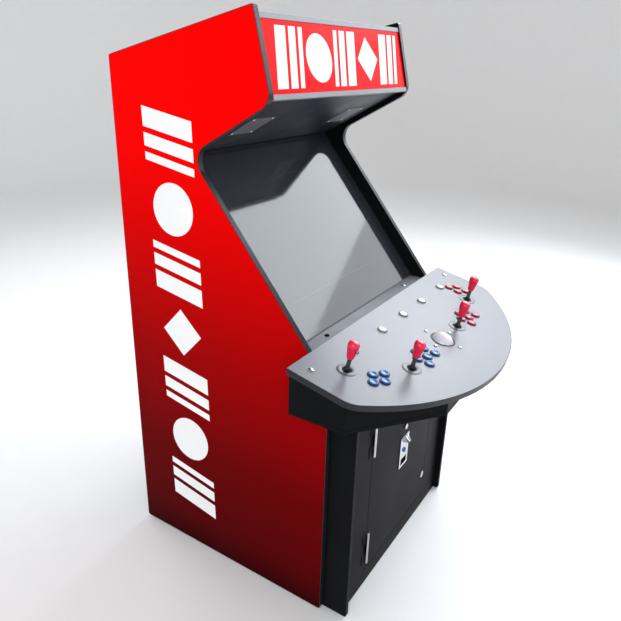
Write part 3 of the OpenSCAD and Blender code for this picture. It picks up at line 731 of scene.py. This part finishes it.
class CABINET_OT_marquee(bpy.types.Operator):
    """Lit red sheet with white shapes, and its two strips"""
    bl_idname = "cabinet.marquee"
    bl_label = "Marquee"

    def execute(self, context):
        art, trim = context.scene.cabinet_art, context.scene.cabinet_trim
        dress("marquee_panel", "marquee_red")
        plane, half_w, half_h = plane_of("marquee_panel", Vector((0, -1, 0)))
        shown = 2 * half_h * 0.9
        shapes = band_shapes(2 * (half_w - art.marquee_margin), shown * art.marquee_share)
        film = film_mesh(shapes, art.film, "marquee_shapes")
        piece("marquee_shapes", moved(film, plane), "marquee_white", "cabinet", "red_acrylic")
        eased_piece("marquee_strips", "marquee_retainers", trim.metal_ease, "strip", slot="grey_retainer")
        return {"FINISHED"}


class CABINET_OT_soffit(bpy.types.Operator):
    """Soffit board with perforated grilles and their screws"""
    bl_idname = "cabinet.soffit"
    bl_label = "Soffit"

    def execute(self, context):
        trim = context.scene.cabinet_trim
        eased_piece("soffit_board", "speaker_board", trim.board_ease, "soffit_board", slot="soffit_board")
        plane, half_w, half_h = plane_of("speaker_grilles", Vector((0, -0.5, -1)))
        board = plane_of("speaker_board", Vector((0, -0.5, -1)))[0]
        side = 2 * half_h
        sheet = local(board, plane.translation)
        centres = [Vector((s * (half_w - half_h), sheet.y, 0)) for s in (-1, 1)]
        rows = int((side - 4 * MM) / trim.grille_pitch)
        span = (rows - 1) * trim.grille_pitch
        border = (side - span - trim.grille_pitch) / 2
        tree = grille_tree()
        values = {"Side": span, "Pitch": trim.grille_pitch, "Hole": trim.grille_hole, "Rows": rows,
                  "Finish": FINISHES["grille"]}
        for x_sign, centre in zip((-1, 1), centres):
            bm = bmesh.new()
            bm.from_mesh(run_tree(tree, [(0, 0, 0)], values, "grille"))
            inner, outer = span / 2 + trim.grille_pitch / 2, side / 2
            ring = [(-inner, -inner), (inner, -inner), (inner, inner), (-inner, inner)]
            wide = [(x * outer / inner, y * outer / inner) for x, y in ring]
            low = [bm.verts.new((x, y, 0)) for x, y in ring]
            rim = [bm.verts.new((x, y, 0)) for x, y in wide]
            for i in range(4):
                k = (i + 1) % 4
                bm.faces.new((low[i], low[k], rim[k], rim[i]))
            bmesh.ops.recalc_face_normals(bm, faces=bm.faces)
            mesh = bpy.data.meshes.new("grille_sheet")
            bm.to_mesh(mesh)
            bm.free()
            source = linked("grille_thick", mesh)
            thick = source.modifiers.new("thick", "SOLIDIFY")
            thick.thickness = 0.9 * MM
            thick.offset = 0
            mesh = moved(baked(source, "grille"),
                         board @ Matrix.Translation((centre.x, centre.y, sheet.z - 0.5 * MM)))
            name = "grille_" + ("left" if x_sign < 0 else "right")
            piece(name, mesh, "grille", "cabinet", "grille_steel",
                  ["speaker_grilles"] if x_sign < 0 else ())
            cloth = moved(rounded_block((side - 4 * border, side - 4 * border, 0.4 * MM), 0.1 * MM),
                          board @ Matrix.Translation((centre.x, centre.y, 0.3 * MM)))
            piece(name + "_cloth", cloth, "surround", "cabinet", "soffit_board")
        corner = side / 2 - 2.4 * trim.screw_radius
        points = [board @ Vector((c.x + sx * corner, c.y + sy * corner, sheet.z))
                  for c in centres for sx in (-1, 1) for sy in (-1, 1)]
        points += [board @ Vector((s * half_w * 0.84, -sheet.y * 1.2, 0))
                   for s in (-1, 1)]
        scatter("soffit_screws", screw_head(trim.screw_radius), points, board, "bright_trim", "cabinet",
                "black_steel")
        return {"FINISHED"}


class CABINET_OT_screen(bpy.types.Operator):
    """Smoked glass, black surround with its ledge, the monitor's case, and the picture with its bright trim
    """
    bl_idname = "cabinet.screen"
    bl_label = "Screen"

    def execute(self, context):
        trim = context.scene.cabinet_trim
        dress("screen_glass", "glass")
        boards = eased_piece("screen_surround_boards", "screen_surround", trim.board_ease, "surround",
                             slot="black_board")
        # The ledge takes the deck's finish, whose lighter grey base colour is painted sheen.
        ledge_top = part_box("screen_surround")[0].z + 20 * MM
        repaint(boards, "deck", lambda point: point.z < ledge_top)
        eased_piece("monitor_case", "monitor", trim.board_ease, "case", slot="monitor_case")
        plane = plane_of("screen_glass", Vector((0, -1, 0.5)))[0]
        up, out = plane.col[1].to_3d(), plane.col[2].to_3d()
        front = extent("monitor", out)[1]
        near = lambda point: out.dot(point) > front - 0.5 * MM
        half_w = extent("monitor", ACROSS, near)[1]
        low, high = extent("monitor", up, near)
        half_h = (high - low) / 2
        seat = seated(plane, up * (low + high) / 2 + out * front)
        width = trim.picture_trim
        picture = rounded_block((2 * (half_w - width), 2 * (half_h - width), 1.2 * MM), 0.3 * MM)
        piece("picture", moved(picture, seat @ Matrix.Translation((0, 0, -3 * MM))), "picture",
              "cabinet", "monitor_case")
        bars = []
        for s in (-1, 1):
            across = rounded_block((2 * half_w, width, 1.6 * MM), 0.4 * MM)
            bars.append(moved(across, Matrix.Translation((0, s * (half_h - width / 2), 0))))
            upright = rounded_block((width, 2 * (half_h - width), 1.6 * MM), 0.4 * MM)
            bars.append(moved(upright, Matrix.Translation((s * (half_w - width / 2), 0, 0))))
        piece("picture_trim", moved(joined(bars, "picture_trim"), seat), "bright_trim", "cabinet",
              "monitor_case")
        return {"FINISHED"}


def is_leaf(point):
    """True on a door hinge's flat leaves, which are given the dark board finish."""
    away = abs(point.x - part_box("coin_door")[0].x + MM)
    return 5.2 * MM < away < 40 * MM


class CABINET_OT_deck(bpy.types.Operator):
    """Control deck's laminate, and every bolt and fixed hinge piece"""
    bl_idname = "cabinet.deck"
    bl_label = "Deck"

    def execute(self, context):
        trim = context.scene.cabinet_trim
        dress("control_top", "deck")
        bolts = eased_piece("bolts_and_hinge_leaves", "fixings", trim.metal_ease, "chrome",
                            slot="black_steel")
        repaint(bolts, "face_board", is_leaf)
        return {"FINISHED"}


def deck_plane():
    return plane_of("control_top", Vector((0, 0, 1)))[0]


def on_deck(node, plane):
    """The spot on the deck's surface straight over or under a turned node's axis."""
    across = [plane.col[i].to_3d() for i in (0, 1)]
    x, y = (sum(extent(node, way)) / 2 - way.dot(plane.translation) for way in across)
    return plane @ Vector((x, y, 0))


BUTTON_SETS = {"start_button": ("start", "white_cap"), "p1_button": ("blue", "blue_cap"),
               "p2_button": ("pink", "pink_cap"), "p3_button": ("blue", "blue_cap"),
               "p4_button": ("red", "red_cap")}


def bezel_mesh(radius, height):
    bore = 12.6 * MM
    lip = [(radius - 0.05 * MM, 0.2 * MM), (radius, 0.9 * MM), (radius - 0.5 * MM, height - 1.1 * MM),
           (radius - 1.5 * MM, height - 0.25 * MM), (radius - 2.4 * MM, height),
           (bore + 0.7 * MM, height - 0.35 * MM), (bore + 0.1 * MM, height - 1.2 * MM)]
    barrel = [(bore, -30 * MM), (bore + 1.5 * MM, -30 * MM), (bore + 1.5 * MM, -0.1 * MM),
              (radius - 0.2 * MM, -0.05 * MM)]
    return lathe(lip + barrel, "bezel", 40)


def plunger_mesh(half_length):
    """Dished cap with a rounded rim over its stem, centred on the middle of its length."""
    cap, top = 12.2 * MM, half_length
    dish = [(0, top - 1.9 * MM), (4 * MM, top - 1.75 * MM), (7 * MM, top - 1.2 * MM),
            (9 * MM, top - 0.5 * MM)]
    rim = [(10.2 * MM, top - 0.06 * MM), (10.9 * MM, top), (11.6 * MM, top - 0.3 * MM),
           (cap, top - 1.1 * MM), (cap, top - 18 * MM)]
    stem = [(4 * MM, top - 18.2 * MM), (4 * MM, -top), (0, -top)]
    return lathe(dish + rim + stem, "plunger", 40)


class CABINET_OT_buttons(bpy.types.Operator):
    """Bezels and dished plungers of all the push buttons"""
    bl_idname = "cabinet.buttons"
    bl_label = "Buttons"

    def execute(self, context):
        controls = context.scene.cabinet_controls
        plane = deck_plane()
        names = sorted(n for n in NODES if "_button_" in n)
        up = plane.col[2].to_3d()
        bezels = {}
        for name in names:
            finish, slot = BUTTON_SETS[name.rsplit("_", 1)[0]]
            low, high = extent(name, up)
            spot = on_deck(name, plane)
            seat = seated(plane, spot + up * ((low + high) / 2 - up.dot(spot)))
            mesh = moved(plunger_mesh((high - low) / 2), seat)
            piece(name + "_cap", mesh, finish, name, slot, [name])
            bezels.setdefault((finish, slot), []).append(spot)
        for (finish, slot), points in bezels.items():
            scatter("bezels_" + finish, bezel_mesh(controls.bezel_radius, controls.bezel_height), points,
                    plane, finish, "cabinet", slot)
        # This piece holds the node's own bezels too, in the place of the coloured ones
        eased_piece("button_nuts_and_switches", "button_bodies", 0.3 * MM, "black_metal",
                    slot="button_plastic")
        return {"FINISHED"}


def bat_mesh(low, high, radius):
    """Bat top: narrow at its foot, widest near the top, with a domed crown."""
    height = high - low
    outline = [(0.5, 0.0), (0.6, 0.02), (0.66, 0.1), (0.76, 0.3), (0.9, 0.52), (0.985, 0.68),
               (1.0, 0.76), (0.965, 0.85), (0.84, 0.925), (0.6, 0.975), (0.3, 0.995), (0.0, 1.0)]
    points = [(r * radius, low + h * height) for r, h in outline]
    return lathe([(0, low), *curve_through(points, 4)], "bat", ROUND_STEPS, 50)


class CABINET_OT_sticks(bpy.types.Operator):
    """Bat tops, shafts with collars, dust washers and the rocking rings"""
    bl_idname = "cabinet.sticks"
    bl_label = "Sticks"

    def execute(self, context):
        controls = context.scene.cabinet_controls
        plane = deck_plane()
        up = plane.col[2].to_3d()
        washers = []
        for player in ("p1", "p2", "p3", "p4"):
            node = player + "_stick"
            at = on_deck(node, plane)
            seat = seated(plane, at)
            base = up.dot(at)
            low, high = (h - base for h in extent(node, up))
            spot = local(plane, at)
            off = lambda p: math.hypot(local(plane, p).x - spot.x, local(plane, p).y - spot.y)
            above = [(off(v.co), local(plane, v.co).z) for v in NODES[node].data.vertices]
            radius = max(r for r, z in above if z > high / 2)
            foot = min(z for r, z in above if r > 0.5 * radius and z > high / 4)
            piece(player + "_bat", moved(bat_mesh(foot, high, radius), seat), "bat", node, "stick_red",
                  [node])
            shaft_r = 6 * MM
            shaft = lathe([(0, foot + 2 * MM), (shaft_r, foot + 2 * MM), (shaft_r, low + 6 * MM),
                           (10 * MM, low + 6 * MM), (10 * MM, low), (0, low)], "shaft", 32)
            piece(player + "_shaft", moved(shaft, seat), "steel", node, "chrome")
            collar = lathe([(shaft_r, 4.8 * MM), (8.8 * MM, 4.8 * MM), (9 * MM, 5.3 * MM),
                            (8.4 * MM, 7 * MM), (7.3 * MM, 9.4 * MM), (shaft_r, 9.8 * MM)], "collar", 40, 50)
            piece(player + "_collar", moved(collar, seat), "rubber", node, "control_plastic")
            dress(player + "_pivot", "nylon")
            washers.append(at)
        hole, rim = controls.washer_hole, controls.washer_radius
        washer = lathe([(hole, 0.2 * MM), (hole, 1.3 * MM), (hole + 0.4 * MM, 1.5 * MM),
                        (rim - 1.2 * MM, 1.5 * MM), (rim - 0.3 * MM, 1.1 * MM), (rim, 0.2 * MM)],
                       "washer", 64, 50)
        scatter("dust_washers", washer, washers, plane, "washer", "cabinet", "control_plastic",
                ["control_bases"])
        under = lambda point: local(plane, point).z < -6 * MM
        eased_piece("control_housings", "control_bases", 0.6 * MM, "rubber", keep=under, replaces=False,
                    slot="control_plastic")
        return {"FINISHED"}


class CABINET_OT_trackball(bpy.types.Operator):
    """Pearl ball in its black ring"""
    bl_idname = "cabinet.trackball"
    bl_label = "Trackball"

    def execute(self, context):
        controls = context.scene.cabinet_controls
        plane = deck_plane()
        low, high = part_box("trackball")
        radius = (high.z - low.z) / 2
        bm = bmesh.new()
        bmesh.ops.create_icosphere(bm, subdivisions=6, radius=radius)
        ball = mesh_from(bm, "ball", 80)
        piece("ball", moved(ball, Matrix.Translation(middle("trackball"))), "ball", "trackball",
              "ball_white", ["trackball"])
        outer, sink = controls.ring_radius - 0.4 * MM, local(plane, middle("trackball")).z
        inner = math.sqrt(radius ** 2 - sink ** 2) + 1.2 * MM
        ring = lathe([(inner, -1.5 * MM), (inner, 0.9 * MM), (inner + 0.5 * MM, 1.3 * MM),
                      (outer - 0.8 * MM, 1.3 * MM), (outer, 0.7 * MM), (outer, -1.5 * MM)], "ring", 96, 50)
        seat = seated(plane, on_deck("trackball", plane))
        piece("trackball_ring", moved(ring, seat), "black_metal", "cabinet", "control_plastic")
        return {"FINISHED"}


class CABINET_OT_coin_door(bpy.types.Operator):
    """Door board, coin plate, lock and reject button"""
    bl_idname = "cabinet.coin_door"
    bl_label = "Coin door"

    def execute(self, context):
        trim = context.scene.cabinet_trim
        eased_piece("coin_door_board", "coin_door", trim.board_ease, "face_board", slot="brown_black_board")
        plate = eased_piece("coin_plate_and_hinges", "door_metalwork", trim.metal_ease, "chrome",
                            slot="chrome")
        repaint(plate, "face_board", is_leaf)
        eased_piece("lock_barrel", "door_lock", trim.metal_ease, "chrome", slot="chrome")
        low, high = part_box("reject_button")
        size = high - low
        cap = moved(rounded_block(size, 1.6 * MM, "reject", 4), Matrix.Translation((low + high) / 2))
        piece("reject_cap", cap, "blue", "reject_button", "blue_cap", ["reject_button"])
        return {"FINISHED"}


class CABINET_OT_rear(bpy.types.Operator):
    """Rear panel with its vents and screws, and the units inside"""
    bl_idname = "cabinet.rear"
    bl_label = "Rear"

    def execute(self, context):
        trim = context.scene.cabinet_trim
        eased_piece("rear_board", "rear_panel", trim.board_ease, "black_board", slot="black_board")
        eased_piece("coin_box", "cash_box", trim.metal_ease, "zinc", slot="zinc_box")
        eased_piece("inside_units", "electrical_units", trim.board_ease, "case", slot="unit_case")
        socket = max((v.co.y for v in NODES["electrical_units"].data.vertices))
        pins = [v.co for v in NODES["electrical_units"].data.vertices if v.co.y > socket - 0.1 * MM]
        pin_at = sum(pins, Vector()) / len(pins)
        blade = rounded_block((2 * MM, 14 * MM, 5 * MM), 0.6 * MM)
        scatter("inlet_pins", blade, [pin_at + Vector((x * MM, -17 * MM, z * MM))
                                      for x, z in ((-7, -2), (7, -2), (0, 3))],
                Matrix.Identity(4), "bright_trim", "cabinet", "unit_case")
        low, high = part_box("rear_panel")
        inset = 25 * MM
        rows = 5
        points = [Vector((x, high.y, low.z + inset + (high.z - low.z - 2 * inset) * i / (rows - 1)))
                  for x in (low.x + inset, high.x - inset) for i in range(rows)]
        turn = Matrix.Rotation(math.radians(-90), 4, "X")
        scatter("rear_screws", screw_head(1.3 * trim.screw_radius), points, turn, "black_metal", "cabinet",
                "black_steel")
        return {"FINISHED"}


# ---- stage ----
def area_light(name, at, target, width, height, power, tint=(0.95, 0.97, 1.0)):
    data = bpy.data.lights.new(name, "AREA")
    data.color = tint
    data.shape = "RECTANGLE"
    data.size = width
    data.size_y = height
    data.energy = power
    light = linked(name, data)
    light.location = at
    light.rotation_euler = (Vector(target) - Vector(at)).to_track_quat("-Z", "Y").to_euler()


class CABINET_OT_stage(bpy.types.Operator):
    """Pale floor that curves up far behind, soft lights and the camera"""
    bl_idname = "cabinet.stage"
    bl_label = "Stage"

    def execute(self, context):
        scene, stage = context.scene, context.scene.cabinet_stage
        radius, bend, wall = stage.floor_radius, 1.5, 3.4
        outline = [(0, 0), (radius, 0)]
        for degrees in range(10, 91, 10):
            a = math.radians(degrees)
            outline.append((radius + bend * math.sin(a), bend * (1 - math.cos(a))))
        outline.append((radius + bend, wall))
        bm = bmesh.new()
        turns = [2 * math.pi * i / FLOOR_STEPS for i in range(FLOOR_STEPS)]
        rings = [[bm.verts.new((r * math.cos(t), r * math.sin(t), z)) for t in turns]
                 for r, z in outline[1:]]
        bm.faces.new(rings[0])
        for first, second in zip(rings, rings[1:]):
            for i in range(FLOOR_STEPS):
                bm.faces.new((first[i - 1], first[i], second[i], second[i - 1]))
        mesh = mesh_from(bm, "pale_floor", 60)
        floor = linked("pale_floor", mesh)
        mesh.materials.append(finish_of("pale_floor", (0.93, 0.93, 0.93), 0.8, shade=0.99, bump=0.02,
                                        specular_ior_level=0.1))
        world = bpy.data.worlds.new("even_light")
        world.use_nodes = True
        world.node_tree.nodes["Background"].inputs["Color"].default_value = (1, 1, 1, 1)
        world.node_tree.nodes["Background"].inputs["Strength"].default_value = stage.sky
        scene.world = world
        area_light("left_soft", (-3.3, -1.6, 2.6), (0, 0.1, 0.9), 2.6, 2.4, 72)
        area_light("screen_high", (2.9, -1.3, 3.6), (0, 0.1, 1.2), 3.2, 2.4, 125, (0.88, 0.93, 1.0))
        area_light("screen_low", (3.6, -1.6, 1.9), (0, 0.1, 1.0), 3.2, 1.4, 36, (0.88, 0.93, 1.0))
        area_light("deck_soft", (3.0, 0.45, 2.85), (0, -0.3, 0.9), 1.5, 1.3, 45, (0.9, 0.94, 1.0))
        area_light("rear_soft", (0.5, 3.6, 3.2), (0, 0, 1.0), 2.5, 2.0, 40)
        scene.view_settings.view_transform = "Standard"
        yaw, pitch, roll = (math.radians(a) for a in (stage.yaw, stage.pitch, stage.roll))
        ahead = Vector((math.sin(yaw) * math.cos(pitch), math.cos(yaw) * math.cos(pitch), math.sin(pitch)))
        right = Vector((math.cos(yaw), -math.sin(yaw), 0))
        up = right.cross(ahead)
        rolled = right * math.cos(roll) + up * math.sin(roll)
        turn = Matrix((rolled, rolled.cross(ahead), -ahead)).transposed()
        data = bpy.data.cameras.new("camera")
        data.lens = stage.lens
        data.shift_x = stage.shift_x
        data.shift_y = stage.shift_y
        camera = linked("camera", data)
        camera.location = stage.camera_at
        camera.rotation_euler = turn.to_euler()
        scene.camera = camera
        return {"FINISHED"}


STEPS = (CABINET_OT_stage, CABINET_OT_sides, CABINET_OT_boards, CABINET_OT_marquee, CABINET_OT_soffit,
         CABINET_OT_screen, CABINET_OT_deck, CABINET_OT_buttons, CABINET_OT_sticks, CABINET_OT_trackball,
         CABINET_OT_coin_door, CABINET_OT_rear)
GROUPS = {"cabinet_art": CabinetArt, "cabinet_trim": CabinetTrim, "cabinet_controls": CabinetControls,
          "cabinet_stage": CabinetStage}


class CABINET_PT_panel(bpy.types.Panel):
    """Lists every step of the cabinet's looks"""
    bl_idname = "CABINET_PT_panel"
    bl_label = "Arcade Cabinet"
    bl_space_type = "VIEW_3D"
    bl_region_type = "UI"
    bl_category = "Cabinet"

    def draw(self, context):
        for step in STEPS:
            self.layout.operator(step.bl_idname)


def register():
    for group in GROUPS.values():
        bpy.utils.register_class(group)
    for step in (*STEPS, CABINET_PT_panel):
        bpy.utils.register_class(step)
    for name, group in GROUPS.items():
        setattr(bpy.types.Scene, name, PointerProperty(type=group))


def unregister():
    for name in GROUPS:
        delattr(bpy.types.Scene, name)
    for step in (*STEPS, CABINET_PT_panel):
        bpy.utils.unregister_class(step)
    for group in GROUPS.values():
        bpy.utils.unregister_class(group)


def main():
    register()
    FINISHES.update(make_finishes(bpy.context.scene))
    for step in STEPS:
        family, action = step.bl_idname.split(".")
        getattr(getattr(bpy.ops, family), action)()


if __name__ == "__main__":
    main()
